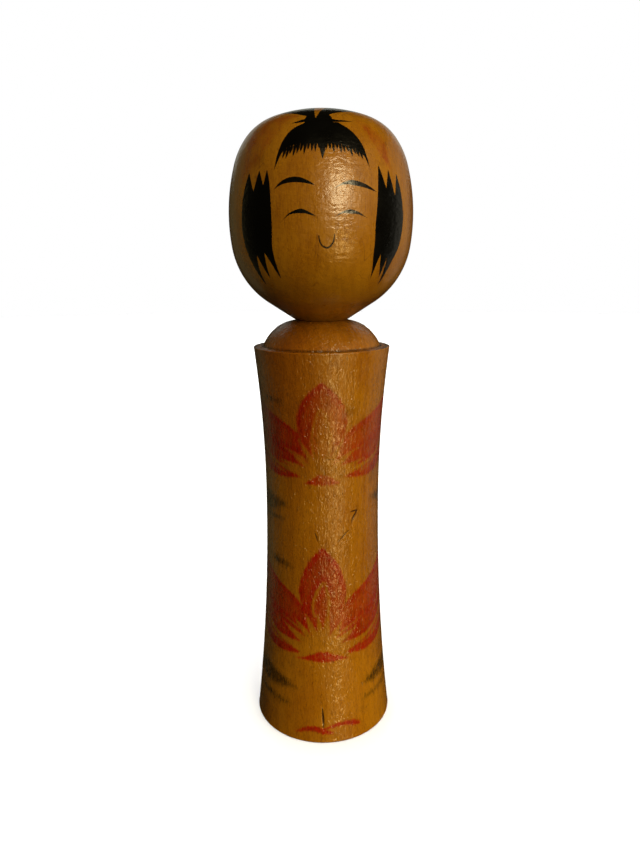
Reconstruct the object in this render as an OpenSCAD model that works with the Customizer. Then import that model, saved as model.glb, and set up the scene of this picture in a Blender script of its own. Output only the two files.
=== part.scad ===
// Kokeshi doll of the Naruko kind, turned on a lathe from two pieces of dogwood.
// The head's own peg is sprung into an undercut socket in the body, so the head
// turns without end, squeaks as it turns, and never lifts out.
// Millimetres. +Z is the axis that both pieces were turned on, z = 0 is the table,
// and the face looks towards -Y.

/* [Body] */
// Height of the rim above the table
rim_h = 156; // [140:1:170]
// Radius of the foot, where the body stands
foot_r = 28.3; // [26:0.1:32]
// Radius of the waist, the slimmest place
waist_r = 22.7; // [20:0.1:24]
// Height of the waist above the table
waist_h = 98; // [70:1:120]
// Radius of the rim, where the body flares out again
rim_r = 26.2; // [25:0.1:30]
// Rounding of the sharp edges of foot and rim
edge_r = 0.5; // [0.2:0.1:1]

/* [Shoulder] */
// Width of the flat ledge between rim and shoulder
ledge_w = 3.6; // [2.5:0.1:4.5]
// Height of the domed shoulder above the ledge
shoulder_h = 9.7; // [8:0.1:11]
// Radius of the flat seat on top of the shoulder, which the head stands on
seat_r = 10.2; // [9:0.1:11]
// Radius of the arc that rounds the shoulder
shoulder_arc_r = 15; // [13:0.5:17]

/* [Head] */
// Height of the whole doll
doll_h = 239; // [234:1:246]
// Radius of the arc over the crown
crown_r = 54; // [50:1:58]
// Radius of the arc that rounds the edge of the crown
forehead_r = 18.4; // [17:0.1:20]
// Radius of the arc down the temple
temple_r = 25.7; // [24:0.1:28]
// Radius of the arc down the cheek, the widest part of the head
cheek_r = 67.5; // [62:0.5:70]
// Radius of the arc under the cheek
jaw_r = 29.3; // [27:0.1:31]
// Radius of the edge where the chin's straight cone meets the shoulder
neck_r = 9.7; // [8.5:0.1:10]

/* [Neck joint] */
// Radius of the peg under the head
peg_r = 6.5; // [5.5:0.1:7]
// Length of the peg
peg_l = 19; // [16:1:24]
// How far the bulb at the peg's end stands out past the peg
bulb_proud = 0.9; // [0.5:0.1:1.1]
// Depth of the lip that grips the peg, from the seat down
lip_h = 6; // [4:0.5:8]
// Radial play of the peg in the lip
play = 0.06; // [0.03:0.01:0.1]

/* [Underside] */
// Radius of the shallow dish under the foot
dish_r = 22; // [18:0.5:24]
// Depth of the dish at its centre
dish_h = 0.8; // [0.4:0.1:1.5]
// Number of marks that the lathe's drive claws leave
claws = 4; // [3:1:6]

/* [Hidden] */
$fn = 180;

WOOD = "#b07a35";
WOOD_HEAD = "#b88038";

// How far a cutter or a joined piece reaches past the face that it meets
lap = 1;

// Shoulder: its arc runs from the edge of the seat to the ledge
seat_z = rim_h + shoulder_h;
seat_edge = [seat_r, seat_z];
shoulder_foot = [rim_r - ledge_w, rim_h];
shoulder_centre = centre_through(shoulder_foot, seat_edge, shoulder_arc_r);

// Neck joint: heights are depths below the seat
turning_gap = 0.05;
bulb_r = peg_r + bulb_proud;
bulb_slope_h = 2;
bulb_h = 4;
bulb_lift = 0.3;
socket_r = bulb_r + 0.1;
socket_floor_gap = 1.5;
socket_depth = peg_l + socket_floor_gap;

// Claw marks: narrow wedges driven into the underside
claw_l = 6;
claw_w = 1.4;
claw_h = 1.6;
claw_ring_r = 8;

// The head's arcs from the crown down to the cheek: radius, and the angle of the normal
// at the lower end, counted from straight up
HEAD_ARCS = [
    [crown_r, 20.3],
    [forehead_r, 52.6],
    [temple_r, 74.3],
    [cheek_r, 98.5]
];
JAW = len(HEAD_ARCS);

// Angle between neighbouring points on an arc of the head
arc_step = 2.5;

// Direction that leans the given angle away from straight up
function lean(angle) = [sin(angle), cos(angle)];

// Centre of the arc of radius r that bulges outwards from p up to q
function centre_through(p, q, r) =
    let (half = (q - p) / 2, inward = [-half[1], half[0]] / norm(half))
    p + half + sqrt(r ^ 2 - norm(half) ^ 2) * inward;

// Two arcs of the head meet on a shared normal, so each centre lies on that normal,
// as far from the last centre as the two radii differ
function arc_r(i) = i == JAW ? jaw_r : HEAD_ARCS[i][0];
function arc_centre(i) = i == 0
    ? [0, doll_h - crown_r]
    : arc_centre(i - 1) + (arc_r(i - 1) - arc_r(i)) * lean(HEAD_ARCS[i - 1][1]);

// The chin is a straight cone from the neck's edge, tangent to the jaw's arc
neck_edge = [neck_r, seat_z + turning_gap];
jaw_to_neck = neck_edge - arc_centre(JAW);
jaw_end = atan2(jaw_to_neck[0], jaw_to_neck[1]) - acos(jaw_r / norm(jaw_to_neck));

// Points down one of the head's arcs, without its first, which ends the arc above
function arc_points(i) =
    let (
        from = i == 0 ? 0 : HEAD_ARCS[i - 1][1],
        sweep = (i == JAW ? jaw_end : HEAD_ARCS[i][1]) - from,
        steps = ceil(sweep / arc_step)
    )
    [for (k = [1:steps]) arc_centre(i) + arc_r(i) * lean(from + sweep * k / steps)];

// Half-section of the domed shoulder, from the ledge up to the seat
module shoulder_section() {
    intersection() {
        translate([0, rim_h]) square([rim_r, shoulder_h]);
        union() {
            translate(shoulder_centre) circle(shoulder_arc_r);
            translate([0, rim_h]) square([shoulder_centre[0], shoulder_h]);
        }
    }
}

// Half-section of one flared end, with the waist at height 0 and the end at height h
module flare(end_r, h) {
    spread = end_r - waist_r;
    hollow_r = (h ^ 2 + spread ^ 2) / (2 * spread);
    difference() {
        square([end_r, h]);
        translate([waist_r + hollow_r, 0]) circle(hollow_r);
    }
}

// The sliver that rounding takes off an outer corner at radius r and height 0
module corner_waste(r) {
    difference() {
        translate([r - edge_r, -edge_r]) square(2 * edge_r);
        translate([r - edge_r, -edge_r]) circle(edge_r);
    }
}

// Foot, waist, rim, ledge and domed shoulder
module body_section() {
    difference() {
        translate([0, waist_h]) flare(rim_r, rim_h - waist_h);
        translate([0, rim_h]) corner_waste(rim_r);
    }
    difference() {
        translate([0, waist_h]) mirror([0, 1]) flare(foot_r, waist_h);
        mirror([0, 1]) corner_waste(foot_r);
    }
    shoulder_section();
}

// Undercut socket: a narrow lip at the seat, a wider chamber below it
module socket_section() {
    translate([0, seat_z]) polygon([
        [0, lap], [peg_r + play, lap],
        [peg_r + play, -lip_h], [socket_r, -lip_h - bulb_slope_h],
        [socket_r, -socket_depth], [0, -socket_depth]
    ]);
}

// Shallow dish turned into the underside, so that the doll stands on a ring
module dish_section() {
    dish_arc_r = (dish_r ^ 2 + dish_h ^ 2) / (2 * dish_h);
    intersection() {
        translate([0, dish_h - dish_arc_r]) circle(dish_arc_r);
        translate([0, -lap]) square([foot_r, dish_h + 2 * lap]);
    }
}

// Slits left by the claws of the lathe's drive, in a ring about the centre
module claw_marks() {
    for (i = [0:claws - 1]) {
        rotate([0, 0, 45 + i * 360 / claws])
            translate([claw_ring_r, 0, 0])
                cube([claw_l, claw_w, 2 * (dish_h + claw_h)], center = true);
    }
}

// One turned piece, from the foot up to the seat, with the neck's socket
module body() {
    color(WOOD) difference() {
        rotate_extrude() difference() {
            body_section();
            dish_section();
            socket_section();
        }
        claw_marks();
    }
}

// The head from the crown to the chin, and its peg with the bulb that the lip holds in
module head_section() {
    bulb_top = seat_z - lip_h - bulb_lift;
    bulb_full = bulb_top - bulb_slope_h;
    peg_end = seat_z - peg_l;
    polygon([
        [0, doll_h], for (i = [0:JAW]) each arc_points(i), neck_edge,
        [peg_r, neck_edge[1]], [peg_r, bulb_top],
        [bulb_r, bulb_full], [bulb_r, bulb_full - bulb_h],
        [peg_r, peg_end], [0, peg_end]
    ]);
}

// The head and its peg, turned in one piece
module head() {
    color(WOOD_HEAD) rotate_extrude() head_section();
}

body();
head();
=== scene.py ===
"""Kokeshi doll: two turned and painted pieces of aged wood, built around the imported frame.

Outlines and paint are in millimetres and degrees. A turn is an angle round the doll's axis,
counted from the side that the face looks towards, positive to the right of a viewer there.
"""

import math

import bpy
import numpy as np
from mathutils import Euler, Matrix, Vector


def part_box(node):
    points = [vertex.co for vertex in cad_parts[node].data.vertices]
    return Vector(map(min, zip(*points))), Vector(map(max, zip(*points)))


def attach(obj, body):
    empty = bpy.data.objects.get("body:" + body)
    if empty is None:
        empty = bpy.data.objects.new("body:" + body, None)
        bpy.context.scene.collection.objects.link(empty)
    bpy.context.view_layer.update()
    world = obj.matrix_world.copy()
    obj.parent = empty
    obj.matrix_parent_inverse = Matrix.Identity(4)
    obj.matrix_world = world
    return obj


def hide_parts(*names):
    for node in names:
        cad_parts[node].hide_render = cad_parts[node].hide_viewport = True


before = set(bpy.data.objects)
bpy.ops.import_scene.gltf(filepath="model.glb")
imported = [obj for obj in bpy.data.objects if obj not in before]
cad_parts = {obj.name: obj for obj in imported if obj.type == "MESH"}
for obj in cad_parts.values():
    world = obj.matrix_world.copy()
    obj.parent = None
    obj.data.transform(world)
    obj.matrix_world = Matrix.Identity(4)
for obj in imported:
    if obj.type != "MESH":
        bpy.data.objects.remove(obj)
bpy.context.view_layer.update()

MM = 0.001
BODY_BOX = [[value / MM for value in corner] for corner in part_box("body")]
HEAD_BOX = [[value / MM for value in corner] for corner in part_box("head")]

# Body: the driving dimensions that the frame's box doesn't give
FOOT_R = BODY_BOX[1][0]
SEAT_Z = BODY_BOX[1][2]
RIM_Z = 156.0
RIM_R = 26.2
WAIST_R = 22.7
WAIST_Z = 98.0
EDGE_R = 0.5
SHOULDER_FOOT_R = 22.6
SHOULDER_ARC_R = 15.0
SEAT_R = 10.2
DISH_R = 22.0
DISH_H = 0.8

# Head: arcs from the crown down, each with its radius and the lean of its normal at the lower end
CROWN_Z = HEAD_BOX[1][2]
HEAD_ARCS = [(54.0, 20.3), (18.4, 52.6), (25.7, 74.3), (67.5, 98.5)]
JAW_R = 29.3
NECK_R = 9.7
NECK_GAP = 0.05

# Neck joint
PEG_R = 6.5
PEG_END_Z = HEAD_BOX[0][2]
BULB_R = 7.4
BULB_H = 4.0
BULB_SLOPE_H = 2.0
LIP_H = 6.0
BULB_LIFT = 0.3
LIP_PLAY = 0.06
SOCKET_R = 7.5
SOCKET_DEPTH = 20.5

# Claw marks under the foot
CLAWS = 4
CLAW_SIZE = (6.0, 1.4, 4.8)
CLAW_RING_R = 8.0

# Painting: the foot, the tip and half the pad's width in degrees of each flower,
# and the height above which the strokes of the crown are painted
UPPER_FLOWER = (109.6, 145.4, 16)
LOWER_FLOWER = (37.6, 81.8, 23)
CROWN_PAINT_Z = 216.0


# ---------------------------------------------------------------- outlines

def lean(angle):
    """Direction that leans the given degrees away from straight up."""
    return np.array([math.sin(math.radians(angle)), math.cos(math.radians(angle))])


def arc(centre, radius, start, end, step):
    """Points along an arc between two leans of its normal, about a step apart."""
    count = max(2, math.ceil(abs(math.radians(end - start)) * radius / step) + 1)
    return [np.array(centre) + radius * lean(angle) for angle in np.linspace(start, end, count)]


def line(start, end, step):
    """Points along a straight line, about a step apart."""
    start, end = np.array(start, float), np.array(end, float)
    count = max(2, math.ceil(np.linalg.norm(end - start) / step) + 1)
    return [start + (end - start) * share for share in np.linspace(0, 1, count)]


def joined(*stretches):
    """One outline out of stretches that meet end to end, without doubled points."""
    points = [stretches[0][0]]
    for stretch in stretches:
        points += [point for point in stretch if np.linalg.norm(point - points[-1]) > 1e-4]
    return np.array(points)


def flare(end_r, height, start, end, step):
    """The hollow side between the waist and an end of that radius, the height away from the waist."""
    spread = end_r - WAIST_R
    hollow_r = (height ** 2 + spread ** 2) / (2 * spread)
    levels = line((0, start), (0, end), step)
    return [
        np.array([WAIST_R + hollow_r - math.sqrt(hollow_r ** 2 - (z - WAIST_Z) ** 2), z])
        for _, z in levels
    ]


def shoulder_dome(step):
    """The arc from the ledge up to the seat."""
    foot = np.array([SHOULDER_FOOT_R, RIM_Z])
    seat = np.array([SEAT_R, SEAT_Z])
    half = (seat - foot) / 2
    inward = np.array([-half[1], half[0]]) / np.linalg.norm(half)
    centre = foot + half + math.sqrt(SHOULDER_ARC_R ** 2 - half @ half) * inward
    leans = [math.degrees(math.atan2(*(point - centre))) for point in (foot, seat)]
    return arc(centre, SHOULDER_ARC_R, leans[0], leans[1], step)


def body_outline():
    """From the middle of the underside, out and up the side, over the shoulder and down the socket."""
    dish_arc_r = (DISH_R ** 2 + DISH_H ** 2) / (2 * DISH_H)
    dish_end = math.degrees(math.asin(DISH_R / dish_arc_r))
    side_step = 0.55
    fine = 0.12
    groove_w = 0.35
    groove_h = 0.3
    corner = FOOT_R - EDGE_R
    rim_corner = RIM_R - EDGE_R
    socket_top = (PEG_R + LIP_PLAY, SEAT_Z)
    lip_end = (PEG_R + LIP_PLAY, SEAT_Z - LIP_H)
    chamber_top = (SOCKET_R, SEAT_Z - LIP_H - BULB_SLOPE_H)
    chamber_end = (SOCKET_R, SEAT_Z - SOCKET_DEPTH)
    groove_side = (SHOULDER_FOOT_R + groove_w, RIM_Z)
    groove_floor = (SHOULDER_FOOT_R + groove_w / 2, RIM_Z - groove_h)
    dome = shoulder_dome(0.4)
    return joined(
        arc((0, DISH_H - dish_arc_r), dish_arc_r, 0, dish_end, 1.5),
        line((DISH_R, 0), (corner, 0), 1),
        arc((corner, EDGE_R), EDGE_R, 180, 90, fine),
        flare(FOOT_R, WAIST_Z, EDGE_R, WAIST_Z, side_step),
        flare(RIM_R, RIM_Z - WAIST_Z, WAIST_Z, RIM_Z - EDGE_R, side_step),
        arc((rim_corner, RIM_Z - EDGE_R), EDGE_R, 90, 0, fine),
        line((rim_corner, RIM_Z), groove_side, 0.4),
        line(groove_side, groove_floor, fine),
        line(groove_floor, dome[0], fine),
        dome,
        line(dome[-1], socket_top, 0.8),
        line(socket_top, lip_end, 1.5),
        line(lip_end, chamber_top, 1.5),
        line(chamber_top, chamber_end, 2),
        line(chamber_end, (0, chamber_end[1]), 1.5),
    )


def head_outline():
    """From the crown down the face to the neck, and down the peg."""
    crown_step = 0.6
    face_step = 0.36
    centre = np.array([0.0, CROWN_Z - HEAD_ARCS[0][0]])
    stretches = []
    start = 0.0
    for index, (radius, end) in enumerate(HEAD_ARCS):
        stretches.append(arc(centre, radius, start, end, crown_step if index == 0 else face_step))
        next_radius = HEAD_ARCS[index + 1][0] if index + 1 < len(HEAD_ARCS) else JAW_R
        centre = centre + (radius - next_radius) * lean(end)
        start = end
    neck = np.array([NECK_R, SEAT_Z + NECK_GAP])
    to_neck = neck - centre
    jaw_end = math.degrees(math.atan2(*to_neck)) - math.degrees(math.acos(JAW_R / np.linalg.norm(to_neck)))
    stretches.append(arc(centre, JAW_R, start, jaw_end, face_step))
    bulb_top = SEAT_Z - LIP_H - BULB_LIFT
    bulb_full = bulb_top - BULB_SLOPE_H
    peg = [
        neck, (PEG_R, neck[1]), (PEG_R, bulb_top), (BULB_R, bulb_full),
        (BULB_R, bulb_full - BULB_H), (PEG_R, PEG_END_Z), (0, PEG_END_Z),
    ]
    stretches.append(line(stretches[-1][-1], neck, 0.5))
    stretches += [line(low, high, 1.5) for low, high in zip(peg, peg[1:])]
    return joined(*stretches)


# ---------------------------------------------------------------- turned meshes

def columns(front, front_step, back_step):
    """Turns of the mesh's columns: close together on the painted front, wider apart behind."""
    ahead = np.linspace(-front, front, round(2 * front / front_step) + 1)
    behind = np.linspace(front, 360 - front, round((360 - 2 * front) / back_step) + 1)
    return np.concatenate([ahead, behind[1:-1]])


def turned(name, outline, turns):
    """A closed mesh turned from an outline whose two ends lie on the axis."""
    angles = np.radians(turns)
    around = np.stack([np.sin(angles), -np.cos(angles)], axis=1)
    rings = outline[1:-1]
    vertices = [(0, 0, outline[0][1]), (0, 0, outline[-1][1])]
    for radius, z in rings:
        vertices += [(radius * x, radius * y, z) for x, y in around]
    count = len(turns)
    faces = []
    for ring in range(len(rings) - 1):
        low = 2 + ring * count
        high = low + count
        for column in range(count):
            beside = (column + 1) % count
            faces.append((low + column, low + beside, high + beside, high + column))
    last = 2 + (len(rings) - 1) * count
    for column in range(count):
        beside = (column + 1) % count
        faces.append((0, 2 + beside, 2 + column))
        faces.append((1, last + column, last + beside))
    if outline[0][1] > outline[-1][1]:
        faces = [face[::-1] for face in faces]
    mesh = bpy.data.meshes.new(name)
    mesh.from_pydata((np.array(vertices) * MM).tolist(), [], faces)
    mesh.validate()
    piece = bpy.data.objects.new(name, mesh)
    bpy.context.scene.collection.objects.link(piece)
    return piece


def cut_claw_marks(piece):
    """Cuts the slits that the lathe's claws left in the underside."""
    length, width, height = (value * MM / 2 for value in CLAW_SIZE)
    corners = [(x, y, z) for x in (-length, length) for y in (-width, width) for z in (-height, height)]
    sides = [(0, 1, 3, 2), (4, 6, 7, 5), (0, 4, 5, 1), (2, 3, 7, 6), (0, 2, 6, 4), (1, 5, 7, 3)]
    vertices = []
    faces = []
    for claw in range(CLAWS):
        spin = Matrix.Rotation(math.radians(45 + claw * 360 / CLAWS), 4, "Z")
        place = spin @ Matrix.Translation((CLAW_RING_R * MM, 0, 0))
        faces += [[len(vertices) + corner for corner in side] for side in sides]
        vertices += [place @ Vector(corner) for corner in corners]
    mesh = bpy.data.meshes.new("claws")
    mesh.from_pydata(vertices, [], faces)
    cutter = bpy.data.objects.new("claws", mesh)
    bpy.context.scene.collection.objects.link(cutter)
    cut = piece.modifiers.new("claws", "BOOLEAN")
    cut.operation = "DIFFERENCE"
    cut.solver = "EXACT"
    cut.object = cutter
    graph = bpy.context.evaluated_depsgraph_get()
    piece.data = bpy.data.meshes.new_from_object(piece.evaluated_get(graph))
    piece.modifiers.clear()
    bpy.data.objects.remove(cutter)


def smooth(piece):
    """Smooth shading that keeps the turned edges crisp."""
    piece.data.shade_smooth()
    piece.data.set_sharp_from_angle(angle=math.radians(34))


# ---------------------------------------------------------------- brush work

class Skin:
    """Where each vertex of a turned piece lies on its skin, unrolled flat, in millimetres.

    Distances to the edge of the paint are kept up to the reach.
    """

    reach = 4.0

    def __init__(self, piece, outline):
        flat = np.empty(len(piece.data.vertices) * 3, np.float32)
        piece.data.vertices.foreach_get("co", flat)
        self.points = flat.reshape(-1, 3).astype(float) / MM
        steps = np.linalg.norm(np.diff(outline, axis=0), axis=1)
        lengths = np.concatenate([[0], np.cumsum(steps)])
        falling = outline[0][1] > outline[-1][1]
        inner_r = SEAT_R if falling else WAIST_R - 1
        side = (outline[:, 0] > inner_r) & (outline[:, 1] > 0.01)
        order = -1 if falling else 1
        self.heights = outline[side, 1][::order]
        self.radii = outline[side, 0][::order]
        self.lengths = lengths[side][::order] * order
        x, y, z = self.points.T
        self.flat = self.place(np.degrees(np.arctan2(x, -y)), z)
        self.plan = self.points[:, :2]
        self.axis_distance = np.linalg.norm(self.plan, axis=1)

    def place(self, turn, height):
        """Flat place of a turn and height: x runs round the piece and y up it."""
        radius = np.interp(height, self.heights, self.radii)
        length = np.interp(height, self.heights, self.lengths)
        return np.stack([np.radians(turn) * radius, length], axis=-1)

    def ring_distance(self, radius, height):
        """Distance from each vertex to a ring round the axis."""
        return np.hypot(self.axis_distance - radius, self.points[:, 2] - height)


def spline(points, steps=7):
    """A smooth curve through the points. A curve through two points is straight."""
    points = np.array(points, float)
    if len(points) == 2:
        return points
    padded = np.vstack([2 * points[0] - points[1], points, 2 * points[-1] - points[-2]])
    shares = np.linspace(0, 1, steps, endpoint=False)[:, None]
    curve = []
    for a, b, c, d in zip(padded, padded[1:], padded[2:], padded[3:]):
        curve.append(
            0.5 * (2 * b + (c - a) * shares + (2 * a - 5 * b + 4 * c - d) * shares ** 2
                   + (3 * b - a - 3 * c + d) * shares ** 3))
    return np.vstack(curve + [points[-1:]])


def segment_distance(spots, start, end):
    """Distance from each spot to a segment, and how far along it the nearest point lies."""
    along = end - start
    share = np.clip((spots - start) @ along / max(along @ along, 1e-12), 0, 1)
    return np.linalg.norm(spots - start - share[:, None] * along, axis=1), share


def near(spots, path, reach):
    """Which spots lie within reach of the path's box."""
    low, high = path.min(axis=0) - reach, path.max(axis=0) + reach
    return np.flatnonzero(((spots > low) & (spots < high)).all(axis=1))


def stroke_on(spots, path, widths):
    """Signed distance from each spot to the edge of a stroke, negative inside the paint."""
    found = np.full(len(spots), Skin.reach)
    close = near(spots, path, Skin.reach + widths.max())
    best = np.full(len(close), Skin.reach)
    for start, end, from_width, to_width in zip(path, path[1:], widths, widths[1:]):
        distance, share = segment_distance(spots[close], start, end)
        np.minimum(best, distance - from_width - (to_width - from_width) * share, out=best)
    found[close] = best
    return found


def stroke(skin, points):
    """A brush stroke through (turn, height, half width) points."""
    curve = spline(points)
    return stroke_on(skin.flat, skin.place(curve[:, 0], curve[:, 1]), np.maximum(curve[:, 2], 0))


def crown_stroke(skin, points):
    """A brush stroke on the crown through (right, back, half width) points, seen from above."""
    curve = spline(points)
    found = stroke_on(skin.plan, curve[:, :2], np.maximum(curve[:, 2], 0))
    return np.where(skin.points[:, 2] > CROWN_PAINT_Z, found, Skin.reach)


def patch(skin, *edges):
    """A filled shape whose smooth edges, each a list of (turn, height) points, meet at corners."""
    curve = np.vstack([spline(edge)[:-1] for edge in edges])
    path = skin.place(curve[:, 0], curve[:, 1])
    found = np.full(len(skin.flat), Skin.reach)
    close = near(skin.flat, path, Skin.reach)
    spots = skin.flat[close]
    best = np.full(len(close), Skin.reach)
    inside = np.zeros(len(close), bool)
    for start, end in zip(path, np.roll(path, -1, axis=0)):
        np.minimum(best, segment_distance(spots, start, end)[0], out=best)
        crosses = (start[1] > spots[:, 1]) != (end[1] > spots[:, 1])
        rise = end[1] - start[1]
        level = (end[0] - start[0]) * (spots[:, 1] - start[1]) / (rise if rise else 1) + start[0]
        inside ^= crosses & (spots[:, 0] < level)
    found[close] = np.where(inside, -best, best)
    return found


def union(*shapes):
    """All of the painted shapes together."""
    return np.minimum.reduce(shapes)


def store(piece, name, values):
    """Keeps one number per vertex for the piece's material."""
    layer = piece.data.attributes.new(name, "FLOAT", "POINT")
    layer.data.foreach_set("value", values.astype(np.float32))


# ---------------------------------------------------------------- hair and face

def bangs(skin):
    """The crescent over the forehead, with the teeth of its fringe."""
    crescent = patch(
        skin,
        [(-27.9, 214.8), (-26.2, 220.6), (-23.5, 224.9), (-19.0, 228.0), (-11.2, 230.0)],
        [(-11.2, 230.0), (12.1, 230.1)],
        [(12.1, 230.1), (20.0, 227.4), (25.0, 223.9), (27.6, 220.0), (29.5, 214.7)],
        [(29.5, 214.7), (25.8, 219.6), (20.0, 222.0), (10.0, 223.1), (0.0, 222.8),
         (-10.0, 223.2), (-18.0, 222.6), (-23.6, 220.4), (-27.9, 214.8)],
    )
    teeth = []
    for index in range(23):
        turn = -21.5 + 2.05 * index
        edge = 223.1 - 0.0042 * (turn - 1) ** 2
        length = 2.1 + 0.6 * math.sin(2.4 * index)
        slant = 0.075 * (turn - 1)
        teeth.append(stroke(skin, [
            (turn, edge + 0.6, 0.52), (turn + slant * 0.5, edge - 0.6 * length, 0.34),
            (turn + slant, edge - 1.2 * length, 0.0)]))
    forelock = stroke(skin, [(0.9, 223.0, 1.1), (0.9, 220.6, 0.75), (0.9, 218.0, 0.0)])
    return union(crescent, forelock, *teeth)


def topknot(skin):
    """The tied knot above the bangs, its two whiskers, and the tuft that fans back over the crown."""
    knot = stroke(skin, [(-1.4, 229.2, 4.6), (-1.6, 231.0, 4.4)])
    left = stroke(skin, [
        (-21.2, 230.0, 0), (-16.5, 230.35, 0.42), (-11.0, 230.8, 0.7), (-4.0, 231.0, 1.0)])
    right = stroke(skin, [
        (24.7, 230.6, 0), (18.0, 230.65, 0.32), (12.0, 230.6, 0.5), (3.0, 230.8, 1.0)])
    tuft = [
        [(-2.8, -23.2, 1.5), (-6.4, -19.6, 2.3), (-11.5, -14.0, 2.0), (-16.0, -7.5, 0.0)],
        [(-2.4, -23.0, 1.3), (-4.8, -17.5, 2.0), (-8.0, -9.5, 1.8), (-10.0, -1.5, 0.0)],
        [(-2.2, -23.0, 1.2), (-3.0, -17.5, 1.5), (-4.4, -7.5, 1.0), (-4.6, 0.5, 0.0)],
        [(0.4, -23.0, 0.9), (2.9, -16.5, 1.4), (4.9, -8.0, 1.3), (5.4, 1.0, 0.0)],
        [(0.6, -23.0, 1.4), (4.4, -17.6, 2.1), (8.0, -10.0, 1.8), (9.8, -2.0, 0.0)],
        [(0.6, -23.2, 1.4), (6.0, -18.6, 1.9), (11.6, -13.2, 1.8), (16.2, -7.5, 0.0)],
    ]
    parting = crown_stroke(skin, [
        (-1.7, -25.4, 0.05), (-1.2, -22.0, 0.8), (-0.7, -17.0, 1.3), (-0.3, -10.0, 1.7), (0.0, 2.0, 2.0)])
    fan = union(*[crown_stroke(skin, points) for points in tuft])
    return union(np.maximum(union(knot, fan), -parting), left, right)


def side_locks(skin):
    """The long locks in front of the ears, each brushed out to points above and below."""
    left = patch(
        skin,
        [(-46.8, 215.6), (-50.0, 210.9), (-52.3, 205.1), (-53.2, 200.2), (-53.1, 195.2),
         (-51.0, 189.6), (-48.6, 185.0), (-44.6, 178.9)],
        [(-44.6, 178.9), (-44.0, 184.4), (-42.6, 189.3)],
        [(-42.6, 189.3), (-40.2, 185.6), (-37.2, 180.9)],
        [(-37.2, 180.9), (-36.6, 185.4), (-36.0, 189.9)],
        [(-36.0, 189.9), (-32.2, 186.0), (-28.0, 180.6)],
        [(-28.0, 180.6), (-29.6, 190.4), (-28.8, 197.5), (-28.9, 204.0), (-30.0, 210.9), (-32.5, 216.2)],
        [(-32.5, 216.2), (-34.4, 210.8)],
        [(-34.4, 210.8), (-38.3, 216.0)],
        [(-38.3, 216.0), (-41.9, 209.2)],
        [(-41.9, 209.2), (-46.8, 215.6)],
    )
    right = patch(
        skin,
        [(50.2, 215.3), (53.1, 210.8), (55.0, 205.9), (56.1, 201.5), (55.8, 197.0),
         (54.0, 191.6), (49.6, 185.8), (46.3, 178.3)],
        [(46.3, 178.3), (44.9, 184.0), (44.4, 188.5)],
        [(44.4, 188.5), (43.1, 181.4)],
        [(43.1, 181.4), (39.9, 185.4), (38.1, 189.2)],
        [(38.1, 189.2), (36.3, 185.2), (35.7, 180.2)],
        [(35.7, 180.2), (33.9, 185.2), (32.6, 188.7), (32.3, 193.6), (32.0, 198.8), (32.8, 204.0),
         (33.8, 210.8), (35.2, 217.6)],
        [(35.2, 217.6), (40.0, 210.1)],
        [(40.0, 210.1), (42.9, 216.3)],
        [(42.9, 216.3), (47.3, 208.0)],
        [(47.3, 208.0), (50.2, 215.3)],
    )
    return union(left, right)


def face(skin):
    """Two brows, two closed smiling eyes, and a nose drawn as a small hook."""
    lines = [
        [(-28.0, 208.9, 0), (-23.5, 210.9, 0.40), (-18.5, 211.9, 0.80), (-13.0, 212.0, 0.85),
         (-7.6, 211.2, 0.50), (-2.6, 210.0, 0.05)],
        [(6.6, 209.0, 0.05), (11.0, 210.4, 0.25), (14.6, 211.0, 0.55), (19.0, 211.0, 0.80),
         (26.0, 210.1, 0.55), (34.2, 208.2, 0)],
        [(-22.4, 199.4, 0.05), (-18.0, 201.5, 0.25), (-14.2, 202.2, 0.5), (-11.2, 202.4, 0.72),
         (-7.6, 201.9, 0.45), (-1.8, 200.4, 0.05)],
        [(7.2, 200.4, 0.05), (11.8, 201.9, 0.30), (15.8, 202.2, 0.66), (19.0, 202.0, 0.50),
         (22.5, 201.4, 0.28), (27.0, 200.2, 0.05)],
        [(-1.4, 194.8, 0.2), (-1.0, 193.2, 0.24), (0.4, 191.7, 0.27), (3.0, 191.0, 0.28),
         (5.2, 191.6, 0.27), (6.9, 193.2, 0.24), (7.3, 195.3, 0.2)],
    ]
    return union(*[stroke(skin, points) for points in lines])


def ribbons(skin):
    """The faded red ribbons on both sides of the topknot."""
    return union(
        stroke(skin, [(-27, 231.3, 0.8), (-37, 228.2, 3.0), (-46, 222.5, 4.2), (-51, 215.0, 2.2)]),
        stroke(skin, [(-20, 232.8, 0.5), (-30, 232.2, 1.5), (-40, 230.8, 2.0), (-54, 226.0, 1.4)]),
        stroke(skin, [(28, 231.0, 0.2), (35, 227.6, 1.5), (41, 222.6, 2.0), (44, 217.0, 0.6)]),
    )


# ---------------------------------------------------------------- flowers and leaves

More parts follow.
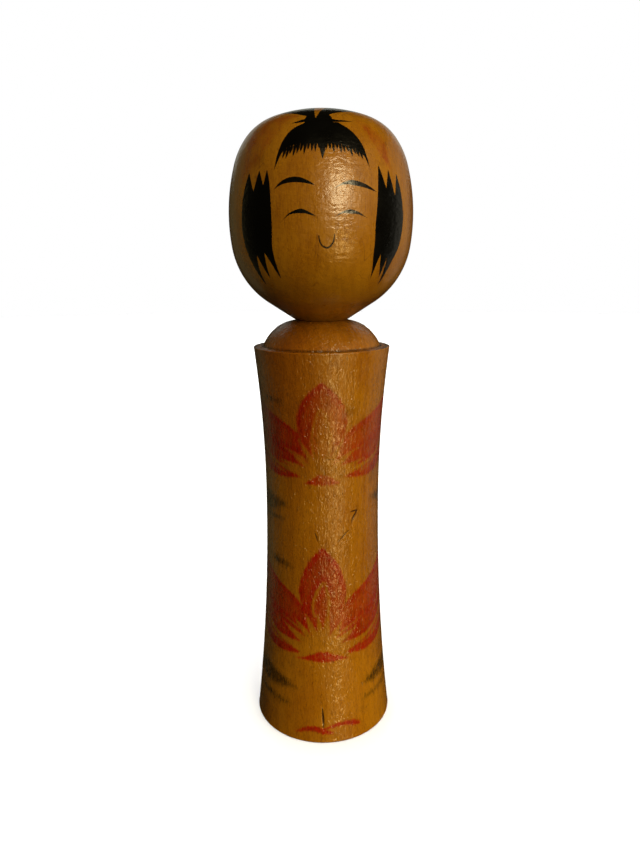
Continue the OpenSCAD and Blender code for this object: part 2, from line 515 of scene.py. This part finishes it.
def flower(skin, base, tip, pad_reach):
    """A lotus seen from the side, with one upright petal and three on each side, and the pad under it."""
    height = tip - base
    half = [(0, 1.0), (9.5, 0.905), (17.0, 0.79), (22.3, 0.635), (21.8, 0.52), (16.0, 0.33), (6.0, 0.14)]
    upright = patch(
        skin,
        [(turn, base + height * share) for turn, share in half],
        [(6.0, base + height * 0.14), (-7.0, base + height * 0.14)],
        [(-turn - 0.8, base + height * share) for turn, share in half[::-1]],
    )
    petals = [
        [(8, 0.19, 1.2), (24, 0.35, 4.2), (38, 0.43, 5.8), (53, 0.50, 6.0), (67, 0.61, 4.6), (84, 0.84, 0)],
        [(9, 0.12, 0.8), (30, 0.18, 3.2), (46, 0.23, 4.2), (60, 0.30, 4.2), (74, 0.42, 3.2), (88, 0.60, 0)],
        [(21, 0.00, 0), (32, 0.01, 1.5), (46, 0.03, 2.6), (61, 0.08, 3.1), (75, 0.18, 2.8), (90, 0.36, 0)],
    ]
    drawn_h = 44
    full = height / drawn_h
    shapes = [upright]
    for side in (-1, 1):
        for points in petals:
            shapes.append(stroke(skin, [
                (side * turn, base + height * share, width * full) for turn, share, width in points]))
    pad = stroke(skin, [
        (-1.1 * pad_reach, base - 2.6, 0), (-0.5 * pad_reach, base - 1.7, 1.2), (-0.5, base - 1.1, 2.2),
        (0.5 * pad_reach, base - 1.7, 1.3), (pad_reach, base - 2.5, 0)])
    return union(*shapes), pad


def rays(skin, foot, ends, width):
    """Pale wedges left unpainted, that narrow upwards from the foot of a flower."""
    shapes = []
    for turn, top in ends:
        shapes.append(stroke(skin, [
            (0.2 * turn - 0.8, foot, width), (turn * 0.62, foot + (top - foot) * 0.55, width * 0.6),
            (turn, top, 0.02)]))
    return union(*shapes)


def upper_resist(skin):
    """Where the upper flower was left unpainted: thin lines round its heart, and rays from its foot."""
    ends = ((-44, 115.4), (-33, 119.6), (-22, 124.0), (-11, 122.5), (-3, 121.0), (8, 122.5), (19, 124.0),
            (31, 119.8), (43, 115.6))
    heart = [
        (-8.0, 118.0), (-9.5, 124.5), (-6.8, 130.5), (-1.5, 135.5), (4.2, 130.5), (7.2, 124.5),
        (6.8, 118.0)]
    line_w = 0.35
    outline = stroke(skin, [(turn, z, line_w) for turn, z in heart])
    gaps = []
    for side in (-1, 1):
        gaps.append(stroke(skin, [
            (side * 82, 124.5, 0.5), (side * 66, 117.0, 0.4),
            (side * 52, 112.6, 0.3), (side * 38, 110.6, 0.1)]))
    base = stroke(skin, [(-14, 112.0, 0.5), (-1, 112.4, 1.6), (13, 112.0, 0.5)])
    return union(outline, base, rays(skin, 111.6, ends, 1.5), *gaps)


def lower_resist(skin):
    """Pale lines in the lower flower: round its inner petal, between petals, and rays from its foot."""
    ends = ((-40, 48.6), (-27.5, 51.6), (-16.5, 54), (-5, 54), (5, 55.4), (18.5, 51.4), (33, 47.6))
    inner = [(-8.0, 53.5), (-9.8, 57.9), (-6.4, 62.6), (0.4, 67.2), (4.2, 62.6), (5.6, 57.9), (4.6, 53.5)]
    line_w = 0.5
    outline = stroke(skin, [(turn, z, line_w) for turn, z in inner])
    gaps = []
    for side in (-1, 1):
        gaps.append(stroke(skin, [
            (side * 84, 66.0, 0.6), (side * 72, 56.5, 0.5), (side * 57, 50.2, 0.05)]))
        gaps.append(stroke(skin, [
            (side * 84, 51.5, 0.6), (side * 70, 45.5, 0.6),
            (side * 54, 41.4, 0.45), (side * 36, 39.6, 0.05)]))
    base = stroke(skin, [(-17, 40.4, 0.5), (-1, 41.0, 1.7), (16, 40.4, 0.5)])
    return union(outline, base, rays(skin, 40.4, ends, 2.1), *gaps)


def flowers(skin):
    """Both flowers with their pads, less the lines that were left unpainted."""
    upper, upper_pad = flower(skin, *UPPER_FLOWER)
    lower, lower_pad = flower(skin, *LOWER_FLOWER)
    upper = np.maximum(upper, -upper_resist(skin))
    lower = np.maximum(lower, -lower_resist(skin))
    return union(upper, upper_pad, lower, lower_pad)


def worn_dye(skin):
    """How far the dye has worn away, from 0 to 1."""
    # Each spot's share, turn, height, half width and half height
    spots = [
        (0.5, 3, 125, 12, 26),
        (0.5, 1, 124, 5, 20),
        (0.4, 8, 54, 10, 20),
        (0.35, 45, 122, 30, 60),
        (0.2, 45, 55, 30, 60),
    ]
    worn = np.zeros(len(skin.flat))
    for share, turn, height, half_w, half_h in spots:
        distance = np.linalg.norm((skin.flat - skin.place(turn, height)) / (half_w, half_h), axis=1)
        worn += share * np.clip(1 - distance, 0, 1)
    return np.clip(worn, 0, 1)


def leaf(skin, start, end, height, tilt, thick):
    """A leaf between two turns: one press of a dry brush, thickest at its outer third."""
    span = end - start
    return stroke(skin, [
        (start, height - tilt / 2, 0.2), (start + 0.33 * span, height - 0.15 * tilt, thick),
        (start + 0.64 * span, height + 0.15 * tilt, 0.7 * thick), (end, height + tilt / 2, 0.1)])


def leaves(skin):
    """The rows of leaves under and beside the two flowers."""
    return union(
        leaf(skin, -88, -38, 97.0, 1.0, 3.8),
        leaf(skin, -80, -42, 91.2, 1.0, 0.9),
        leaf(skin, 92, 56, 97.8, 1.8, 2.6),
        leaf(skin, -60, -34, 73.4, -1.5, 1.5),
        leaf(skin, -58, -40, 138.0, -1.0, 0.2),
        leaf(skin, -82, -25, 23.4, -2.0, 3.8),
        leaf(skin, -70, -30, 15.0, -0.8, 1.1),
        leaf(skin, 88, 38, 23.4, -2.6, 3.2),
        leaf(skin, 76, 38, 16.2, -1.2, 0.4),
    )


def low_grass(skin):
    """Two short red strokes in front of the foot."""
    return union(
        stroke(skin, [(-23, 3.6, 0.4), (-15, 5.4, 0.95), (-8.5, 5.9, 1.15), (0, 5.0, 1.2), (7, 4.2, 0.4)]),
        stroke(skin, [(2.4, 6.2, 0.4), (11, 7.4, 0.8), (20, 7.6, 0.9), (28, 6.6, 1.1), (32.1, 5.9, 0.3)]),
    )


# ---------------------------------------------------------------- wear in the wood itself

# Each scar's (turn, height, half width) points, and its depth
SCARS = [
    ([(-3.2, 20.4, 0.05), (-1.4, 15.6, 0.12), (-0.4, 10.6, 0.42), (-0.3, 5.8, 0.14)], 0.22),
    ([(4.0, 112.0, 0.05), (9.0, 112.1, 0.12), (13.5, 111.8, 0.05)], 0.15),
    ([(25.0, 94.8, 0.05), (30.0, 95.2, 0.28), (35.5, 95.4, 0.2)], 0.1),
    ([(35.0, 95.0, 0.25), (31.0, 92.8, 0.35), (28.6, 90.4, 0.05)], 0.12),
    ([(-7.6, 88.0, 0.08), (-6.2, 86.2, 0.26), (-4.2, 83.8, 0.08)], 0.15),
    ([(14.0, 83.4, 0.05), (19.0, 85.4, 0.2), (27.0, 88.0, 0.14), (36.0, 87.2, 0.05)], 0.12),
    ([(3.5, 116.6, 0.05), (9.0, 116.4, 0.2), (22.0, 116.2, 0.1)], 0.12),
]


def scar(skin, piece, points, depth):
    """Presses a narrow scar into the skin along a stroke."""
    found = stroke(skin, points)
    slope_w = 0.35
    press = depth * np.clip(0.6 - found / slope_w, 0, 1)
    outward = skin.points * [1, 1, 0]
    outward /= np.maximum(np.linalg.norm(outward, axis=1), 1e-6)[:, None]
    skin.points -= outward * press[:, None]
    piece.data.vertices.foreach_set("co", (skin.points * MM).astype(np.float32).ravel())
    piece.data.update()
    return found


def body_corners(skin):
    """Distance to a dark line along the rim's edge, and to the crease round the dome's foot, where painted
    shade lies with some dirt.
    """
    edge_r = RIM_R - 0.9
    rim_edge = np.hypot(skin.axis_distance - edge_r, (skin.points[:, 2] - RIM_Z) * 2)
    return np.minimum(rim_edge, skin.ring_distance(SHOULDER_FOOT_R, RIM_Z))


# ---------------------------------------------------------------- materials

class Graph:
    """A material's node tree, built one call per node."""

    def __init__(self, name):
        self.material = bpy.data.materials.new(name)
        self.material.use_nodes = True
        self.tree = self.material.node_tree
        self.shader = self.tree.nodes["Principled BSDF"]
        self.place = self.add("ShaderNodeTexCoord").outputs["Object"]

    def add(self, kind, inputs=None, **settings):
        """Adds a node. An input is given a value, or linked if it is another node's output."""
        node = self.tree.nodes.new(kind)
        for name, value in settings.items():
            setattr(node, name, value)
        for name, value in (inputs or {}).items():
            self.set(node, name, value)
        return node

    def set(self, node, name, value):
        """Sets or links one input."""
        if isinstance(value, bpy.types.NodeSocket):
            self.tree.links.new(value, node.inputs[name])
        else:
            node.inputs[name].default_value = value

    def attribute(self, name):
        """A number stored on the mesh."""
        return self.add("ShaderNodeAttribute", attribute_name=name).outputs["Fac"]

    def math(self, operation, a, b=0.0, c=0.0):
        """One step of arithmetic."""
        return self.add("ShaderNodeMath", {0: a, 1: b, 2: c}, operation=operation).outputs[0]

    def ramp(self, value, low, high, start=0.0, end=1.0):
        """A smooth step from start to end while the value goes from low to high."""
        return self.add(
            "ShaderNodeMapRange",
            {"Value": value, "From Min": low, "From Max": high, "To Min": start, "To Max": end},
            interpolation_type="SMOOTHSTEP",
        ).outputs["Result"]

    def stretched(self, grain, shift=(0, 0, 0)):
        """The place in grains of that size in millimetres along x, y and z, shifted by so many grains."""
        return self.add("ShaderNodeMapping", {
            "Vector": self.place,
            "Location": shift,
            "Scale": tuple(1 / (size * MM) for size in grain),
        }).outputs["Vector"]

    def noise(self, grain, detail=3.0, rough=0.5, shift=(0, 0, 0), warp=0.0):
        """Noise whose grain has that size in millimetres along x, y and z, about 0.5 on average."""
        return self.add("ShaderNodeTexNoise", {
            "Vector": self.stretched(grain, shift),
            "Scale": 1.0,
            "Detail": detail,
            "Roughness": rough,
            "Distortion": warp,
        }).outputs["Fac"]

    def mix(self, share, a, b, blend="MIX"):
        """Mixes two colours."""
        node = self.add("ShaderNodeMix", data_type="RGBA", blend_type=blend)
        self.set(node, 0, share)
        for index, value in ((6, a), (7, b)):
            self.set(node, index, value if isinstance(value, bpy.types.NodeSocket) else (*value, 1.0))
        return node.outputs[2]

    def bump(self, height, depth, normal=None):
        """Bumps a surface by a height of 0 to 1 that stands for a depth in millimetres."""
        inputs = {"Height": height, "Distance": depth * MM, "Strength": 1.0}
        if normal is not None:
            inputs["Normal"] = normal
        return self.add("ShaderNodeBump", inputs).outputs["Normal"]


def growth_rings(graph, pith, width):
    """Shade of the growth rings round a pith, placed in millimetres: 0 in early and 1 in late wood."""
    centre = (pith[0] * MM, pith[1] * MM, 0)
    taper = (1, 1, 0.04)
    vector = "ShaderNodeVectorMath"
    offset = graph.add(vector, {0: graph.place, 1: centre}, operation="SUBTRACT").outputs[0]
    across = graph.add(vector, {0: offset, 1: taper}, operation="MULTIPLY").outputs[0]
    distance = graph.add(vector, {0: across}, operation="LENGTH").outputs["Value"]
    waver = graph.noise((34, 34, 120), detail=2.0)
    count = graph.math("MULTIPLY_ADD", waver, 3.2, graph.math("DIVIDE", distance, width * MM))
    phase = graph.math("FRACT", count)
    rise = graph.ramp(phase, 0.15, 0.9)
    return graph.math("MULTIPLY", rise, graph.ramp(phase, 0.92, 1.0, 1.0, 0.0))


def hairlines(graph, grain, width, shift):
    """Fine dark checks that run up the grain: 1 on a line and 0 beside it."""
    wander = graph.noise(grain, detail=1.0, rough=0.4, shift=shift)
    beside = graph.math("ABSOLUTE", graph.math("SUBTRACT", wander, 0.5))
    line = graph.ramp(beside, 0.0, width, 1.0, 0.0)
    return graph.math("MULTIPLY", line, graph.ramp(graph.noise((8, 8, 30), shift=shift), 0.42, 0.62))


def aged_wood(graph, pale, amber, dark, pith, ring_share, mottle, check_share):
    """Colour of wood gone amber, with rings, fibres, flecks, checks and grime, and its fibres apart."""
    blotch = graph.noise((15, 15, 26), detail=4.0, rough=0.55, warp=0.4)
    colour = graph.mix(graph.ramp(blotch, 0.32, 0.68), amber, pale)
    rings = growth_rings(graph, pith, 3.1)
    colour = graph.mix(graph.math("MULTIPLY", rings, ring_share), colour, dark)
    fibre = graph.noise((0.32, 0.32, 5.0), detail=4.0, rough=0.65)
    colour = graph.mix(graph.ramp(fibre, 0.48, 0.68, 0.0, 0.60), colour, pale)
    colour = graph.mix(graph.ramp(fibre, 0.47, 0.28, 0.0, 0.62), colour, dark)
    fleck = graph.noise((0.6, 0.6, 1.2), detail=3.0, rough=0.6, shift=(7, 3, 1))
    colour = graph.mix(graph.ramp(fleck, 0.56, 0.72, 0.0, mottle), colour, dark)
    colour = graph.mix(graph.ramp(fleck, 0.46, 0.30, 0.0, mottle), colour, pale)
    checks = hairlines(graph, (5.5, 5.5, 160), 0.009, (2, 6, 4))
    colour = graph.mix(graph.math("MULTIPLY", checks, check_share), colour, dark)
    grime = graph.noise((9, 9, 13), detail=5.0, rough=0.6, shift=(3, 8, 5))
    return graph.mix(graph.ramp(grime, 0.54, 0.78, 0.0, 0.45), colour, dark), fibre


def tinted(graph, share, colour, tint):
    """Multiplies the colour by a tint, by a share of 0 to 1."""
    return graph.mix(share, colour, graph.mix(1.0, colour, tint, "MULTIPLY"))


def waxed(graph, colour, roughness, normal, wax_normal, wax_roughness):
    """Joins colour, roughness and bumps to the shader, under an uneven coat of old wax."""
    graph.set(graph.shader, "Base Color", colour)
    graph.set(graph.shader, "Roughness", roughness)
    graph.set(graph.shader, "Normal", normal)
    graph.set(graph.shader, "IOR", 1.46)
    graph.set(graph.shader, "Specular IOR Level", 0.3)
    graph.set(graph.shader, "Coat Weight", 0.7)
    graph.set(graph.shader, "Coat Roughness", wax_roughness)
    graph.set(graph.shader, "Coat IOR", 1.45)
    graph.set(graph.shader, "Coat Normal", wax_normal)
    return graph.material


def shaded_and_soiled(graph, colour, name, reach, share):
    """Darkens the wood where a stored distance is short: painted shade round the neck and under the head,
    and painted shade with some dirt in the body's corners.
    """
    # Dark brown for painted shade, and for some dirt in the body's corners
    shade_and_dirt = (0.043, 0.0145, 0.0012)
    patchy = graph.noise((3, 3, 3), detail=4.0, rough=0.6, shift=(8, 1, 5))
    uneven = graph.ramp(patchy, 0.25, 0.7, 0.55, 1.0)
    cover = graph.math("MULTIPLY", graph.ramp(graph.attribute(name), reach, 0.0, 0.0, share), uneven)
    return graph.mix(cover, colour, shade_and_dirt)


def dyed(graph, colour, name, dye, bleed, strength, grain_shift):
    """Soaks a dye into the wood where a stroke lies, darker near its edge, bleeding up the grain."""
    distance = graph.attribute(name)
    creep = graph.noise((0.5, 0.5, 2.6), detail=3.0, rough=0.6, shift=grain_shift)
    edge = graph.math("MULTIPLY_ADD", graph.math("SUBTRACT", creep, 0.5), bleed * 2.6, distance)
    cover = graph.ramp(edge, bleed * 0.7, -bleed * 0.7)
    cover = graph.math("MULTIPLY", cover, graph.ramp(edge, -3.6, -0.6, 0.80, 1.0))
    cover = graph.math("MULTIPLY", cover, strength)
    return tinted(graph, cover, colour, dye)


def head_material():
    """Head: smooth amber wood, black ink, faded red ribbons, and painted shade round the neck."""
    graph = Graph("head_wood")
    colour, fibre = aged_wood(
        graph, pale=(0.55, 0.217, 0.0045), amber=(0.43, 0.150, 0.0015), dark=(0.19, 0.052, 0.0008),
        pith=(95, -30), ring_share=0.13, mottle=0.28, check_share=0.6)
    # Painted shade round the neck, under the chin
    colour = shaded_and_soiled(graph, colour, "corner", 9.0, 0.55)
    fade = graph.ramp(graph.noise((5, 5, 7), detail=4.0, shift=(1, 2, 9)), 0.30, 0.72, 0.2, 0.9)
    colour = dyed(graph, colour, "ribbon", (0.78, 0.34, 0.70), 2.0, fade, (2, 5, 1))
    ink = graph.ramp(graph.attribute("ink"), 0.09, -0.09)
    wear = graph.ramp(graph.noise((0.4, 0.4, 0.8), detail=3.0, rough=0.7), 0.70, 0.86, 1.0, 0.9)
    ink = graph.math("MULTIPLY", ink, wear)
    colour = graph.mix(ink, colour, (0.0016, 0.0014, 0.0011))
    roughness = graph.ramp(graph.noise((6, 6, 9), detail=5.0), 0.3, 0.7, 0.26, 0.36)
    ripple = graph.noise((18, 18, 1.3), detail=1.0, rough=0.4)
    pebble = graph.noise((1.9, 1.9, 1.3), detail=2.0, rough=0.5, shift=(1, 9, 2), warp=0.3)
    normal = graph.bump(fibre, 0.05, graph.bump(pebble, 0.15))
    wax_normal = graph.bump(pebble, 0.19, graph.bump(ripple, 0.13))
    return waxed(graph, colour, roughness, normal, wax_normal, 0.19)


def body_tone_and_shade(graph, colour, across, height):
    """Darker and duller above the foot, and painted shade high on its left, where less light falls."""
    dull = graph.ramp(height, 0.012, 0.07, 0.0, 0.45)
    colour = tinted(graph, dull, colour, (0.72, 0.66, 0.60))
    # Painted shade: the upper left of the body darkened, where less light falls
    left_shade = graph.math("MULTIPLY", graph.ramp(across, 0.008, -0.010), graph.ramp(height, 0.095, 0.135))
    return tinted(graph, left_shade, colour, (0.80, 0.66, 0.60))


def body_paint(graph, colour):
    """Red flowers and grass and dark leaves, brushed on thinly and worn in places."""
    thin = graph.noise((0.7, 0.7, 3.2), detail=5.0, rough=0.7, shift=(4, 4, 2))
    kept = graph.ramp(graph.attribute("worn"), 0.0, 1.0, 1.0, 0.15)
    density = graph.math("MULTIPLY", graph.ramp(thin, 0.30, 0.56, 0.66, 1.0), kept)
    colour = dyed(graph, colour, "red", (0.88, 0.058, 0.20), 0.9, density, (2, 5, 1))
    bristles = graph.noise((0.8, 0.8, 4.5), detail=4.0, rough=0.7, shift=(5, 1, 3))
    brushed = graph.ramp(bristles, 0.34, 0.58, 0.48, 0.98)
    return dyed(graph, colour, "leaf", (0.07, 0.095, 0.16), 2.6, brushed, (6, 2, 8))


def body_material():
    """Body: open fibrous wood, red flowers, dark leaves, painted shade with some dirt, scars, and wax with
    fine crinkles.
    """
    graph = Graph("body_wood")
    colour, fibre = aged_wood(
        graph, pale=(0.61, 0.229, 0.0050), amber=(0.50, 0.164, 0.0018), dark=(0.17, 0.044, 0.0008),
        pith=(-80, -45), ring_share=0.16, mottle=0.55, check_share=0.3)
    place = graph.add("ShaderNodeSeparateXYZ", {0: graph.place}).outputs
    colour = body_tone_and_shade(graph, colour, place["X"], place["Z"])
    colour = body_paint(graph, colour)
    # Painted shade with some dirt in the crease round the dome's foot, and a dark line along the rim's edge
    colour = shaded_and_soiled(graph, colour, "corner", 1.0, 0.9)
    # Painted shade that the head casts on the shoulder round the neck
    colour = shaded_and_soiled(graph, colour, "under_head", 20.0, 0.66)
    crack = graph.ramp(graph.attribute("crack"), 0.14, -0.08, 0.0, 0.9)
    colour = graph.mix(crack, colour, (0.03, 0.010, 0.004))
    roughness = graph.ramp(graph.noise((5, 5, 8), detail=5.0), 0.3, 0.7, 0.20, 0.34)
    ripple = graph.noise((40, 40, 1.6), detail=1.0, rough=0.5)
    crinkle = graph.noise((1.3, 1.3, 2.6), detail=1.0, rough=0.5, shift=(1, 9, 2), warp=0.9)
    smoother_foot = graph.ramp(place["Z"], 0.014, 0.055, 0.35, 1.0)
    crinkle = graph.math("MULTIPLY", crinkle, smoother_foot)
    normal = graph.bump(fibre, 0.10, graph.bump(crinkle, 0.16))
    wax_normal = graph.bump(crinkle, 0.60, graph.bump(ripple, 0.05))
    return waxed(graph, colour, roughness, normal, wax_normal, 0.09)


# ---------------------------------------------------------------- the two pieces

def make_body():
    """The turned body with its painting, its painted shade and dirt, and its scars."""
    outline = body_outline()
    piece = turned("painted_body", outline, columns(front=96, front_step=1.0, back_step=3.0))
    cut_claw_marks(piece)
    skin = Skin(piece, outline)
    store(piece, "red", union(flowers(skin), low_grass(skin)))
    store(piece, "worn", worn_dye(skin))
    store(piece, "leaf", leaves(skin))
    # Distances for the painted shade: to the rim's edge and the dome's foot, and to the neck under the head
    store(piece, "corner", body_corners(skin))
    store(piece, "under_head", skin.ring_distance(NECK_R, SEAT_Z))
    store(piece, "crack", union(*[scar(skin, piece, points, depth) for points, depth in SCARS]))
    piece.data.materials.clear()
    piece.data.materials.append(body_material())
    smooth(piece)
    return piece


def make_head():
    """The turned head with its hair, face and ribbons."""
    outline = head_outline()
    piece = turned("painted_head", outline, columns(front=64, front_step=0.6, back_step=2.3))
    skin = Skin(piece, outline)
    store(piece, "ink", union(bangs(skin), topknot(skin), side_locks(skin), face(skin)))
    store(piece, "ribbon", ribbons(skin))
    # Distance from the neck, for the painted shade under the chin
    store(piece, "corner", skin.ring_distance(NECK_R, SEAT_Z))
    piece.data.materials.append(head_material())
    smooth(piece)
    return piece


# ---------------------------------------------------------------- camera, floor and light

def make_camera():
    """A camera close in front of the doll's face, looking a little down."""
    data = bpy.data.cameras.new("camera")
    data.sensor_fit = "VERTICAL"
    data.sensor_height = 24.0
    data.lens = 18.03
    data.clip_start = 0.01
    camera = bpy.data.objects.new("camera", data)
    bpy.context.scene.collection.objects.link(camera)
    place = (-0.0008, -0.2486, 0.1826)
    pitch = 13.35
    roll = -0.33
    aim = Euler((math.radians(90 - pitch), 0, 0)).to_matrix().to_4x4()
    aim = aim @ Matrix.Rotation(math.radians(roll), 4, "Z")
    camera.matrix_world = Matrix.Translation(place) @ aim
    bpy.context.scene.camera = camera


def around(azimuth, elevation, distance, height):
    """The point in that direction from a point on the doll's axis. Azimuth 0 is straight in front."""
    turn = math.radians(azimuth)
    rise = math.radians(elevation)
    return (
        distance * math.cos(rise) * math.sin(turn),
        -distance * math.cos(rise) * math.cos(turn),
        height + distance * math.sin(rise),
    )


def area_light(name, direction, height, size, power, colour):
    """A light at (azimuth, elevation, distance) from a height on the doll's axis, and facing it."""
    data = bpy.data.lights.new(name, "AREA")
    data.shape = "RECTANGLE"
    data.size, data.size_y = size
    data.energy = power
    data.color = colour
    light = bpy.data.objects.new(name, data)
    bpy.context.scene.collection.objects.link(light)
    place = Vector(around(*direction, height))
    target = Vector((0, 0, height))
    light.location = place
    light.rotation_euler = (target - place).to_track_quat("-Z", "Y").to_euler()
    light.visible_camera = False
    return light


def make_lights():
    """A soft window and a wider light, the window's image in the table, two walls and two back lights."""
    chest = 0.13
    waist = 0.09
    sunlit = (1.0, 0.85, 0.52)
    golden = (1.0, 0.80, 0.42)
    table_brown = (1.0, 0.70, 0.24)
    warm_white = (1.0, 0.93, 0.74)
    straw = (1.0, 0.86, 0.40)
    area_light("window", (23, 18, 3.5), chest, (0.9, 1.3), 50.0, sunlit)
    glow = area_light("window_glow", (24, 17, 3.5), chest, (2.0, 1.8), 46.0, golden)
    glow.visible_diffuse = False
    table = area_light("window_in_table", (27, -18, 2.5), waist, (0.7, 0.5), 11.5, table_brown)
    table.visible_diffuse = False
    wide = area_light("wide_window", (56, 24, 3.5), chest, (3.2, 2.6), 48.0, warm_white)
    wide.visible_glossy = False
    area_light("right_wall", (122, 3, 2.0), chest, (1.4, 2.4), 2.4, warm_white)
    area_light("left_wall", (-130, 2, 2.0), chest, (1.4, 2.6), 1.2, straw)
    behind = area_light("back_fill", (190, 8, 2.0), chest, (1.6, 1.2), 19.0, (1, 1, 0.97))
    behind.visible_glossy = False
    crown = area_light("behind_crown", (180, 24, 2.5), chest, (3.0, 0.8), 3.2, (1, 1, 0.86))
    crown.visible_diffuse = False


def make_world():
    """Plain white behind the doll, and dim light round it that comes mostly from above."""
    world = bpy.data.worlds.new("studio")
    world.use_nodes = True
    bpy.context.scene.world = world
    tree = world.node_tree
    rays = tree.nodes.new("ShaderNodeLightPath")
    direction = tree.nodes.new("ShaderNodeTexCoord")
    split = tree.nodes.new("ShaderNodeSeparateXYZ")
    tree.links.new(direction.outputs["Generated"], split.inputs[0])
    height = tree.nodes.new("ShaderNodeMapRange")
    height.inputs["From Min"].default_value = -0.25
    height.inputs["From Max"].default_value = 0.1
    height.inputs["To Min"].default_value = 0.02
    height.inputs["To Max"].default_value = 0.085
    tree.links.new(split.outputs["Z"], height.inputs["Value"])
    room = (0.012, 0.010, 0.005, 1)
    shown = None
    for ray, colour in (("Is Diffuse Ray", height.outputs["Result"]), ("Is Camera Ray", (1, 1, 1, 1))):
        blend = tree.nodes.new("ShaderNodeMix")
        blend.data_type = "RGBA"
        tree.links.new(rays.outputs[ray], blend.inputs[0])
        if shown is None:
            blend.inputs[6].default_value = room
            tree.links.new(colour, blend.inputs[7])
        else:
            tree.links.new(shown, blend.inputs[6])
            blend.inputs[7].default_value = colour
        shown = blend.outputs[2]
    tree.links.new(shown, tree.nodes["Background"].inputs["Color"])


def make_floor():
    """A pale round floor with a light of its own, so that it stays pale without lighting the doll."""
    radius = 3.0
    count = 96
    corners = [(radius * math.sin(2 * math.pi * k / count), radius * math.cos(2 * math.pi * k / count), 0)
               for k in range(count)]
    mesh = bpy.data.meshes.new("floor")
    mesh.from_pydata(corners, [], [tuple(range(count))[::-1]])
    floor = bpy.data.objects.new("floor", mesh)
    bpy.context.scene.collection.objects.link(floor)
    paper = bpy.data.materials.new("floor_paper")
    paper.use_nodes = True
    shader = paper.node_tree.nodes["Principled BSDF"]
    shader.inputs["Base Color"].default_value = (0.86, 0.86, 0.85, 1)
    shader.inputs["Roughness"].default_value = 0.9
    shader.inputs["Specular IOR Level"].default_value = 0.0
    mesh.materials.append(paper)
    floor.visible_diffuse = False
    floor.visible_glossy = False
    floor.visible_shadow = False
    only_floor = bpy.data.collections.new("only_floor")
    only_floor.objects.link(floor)
    data = bpy.data.lights.new("floor_light", "SUN")
    data.energy = 3.9
    data.angle = math.radians(70)
    light = bpy.data.objects.new("floor_light", data)
    bpy.context.scene.collection.objects.link(light)
    light.light_linking.receiver_collection = only_floor


make_camera()
make_world()
make_lights()
make_floor()
bpy.context.scene.view_settings.view_transform = "Standard"

painted_body = make_body()
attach(painted_body, "body")
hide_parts("body")

painted_head = make_head()
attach(painted_head, "head")
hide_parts("head")
